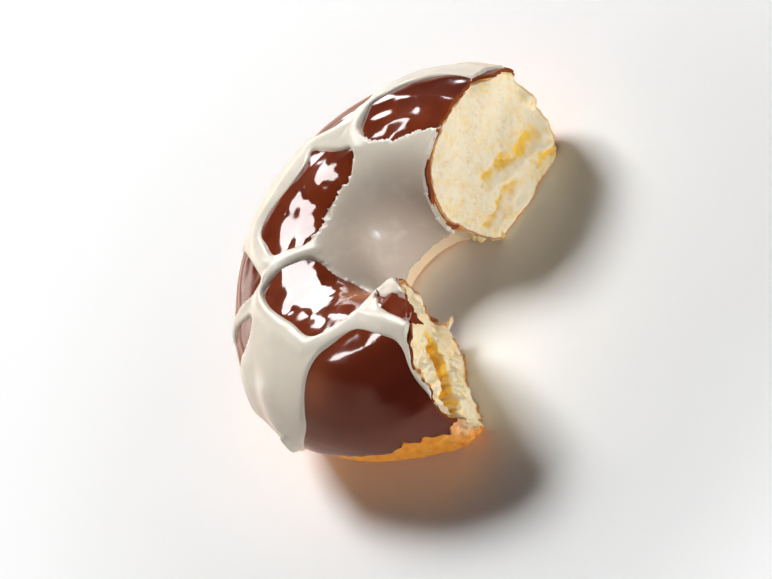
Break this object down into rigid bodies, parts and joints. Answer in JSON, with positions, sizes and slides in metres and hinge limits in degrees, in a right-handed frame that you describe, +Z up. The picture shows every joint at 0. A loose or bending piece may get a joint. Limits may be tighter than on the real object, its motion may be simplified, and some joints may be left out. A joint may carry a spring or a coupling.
{
  "type": "bitten doughnut",
  "caption": "Ring doughnut with a large piece torn away, leaving a C of fried dough under a glossy chocolate coat and a raised net of white icing.",
  "frame": {"origin": "on the surface the doughnut lies on, under the middle of the box round the whole part", "axes": "+Z is up, the ring's own axis; +X runs towards torn end A; the missing piece is on the +X, -Y side"},
  "size_m": [0.0874, 0.0862, 0.031],
  "materials": {
    "dough": "fried yeast dough: golden crust with pale patches, torn ends of cream crumb with small pores",
    "chocolate": "reddish brown chocolate coating, glossy and slightly wavy",
    "icing": "off-white sugar icing, satin, thicker along the net's lines and thinner where it has flooded a cell"
  },
  "bodies": {
    "root": {"dough": "dough", "chocolate_coating": "chocolate", "white_icing": "icing"}
  },
  "joints": []
}
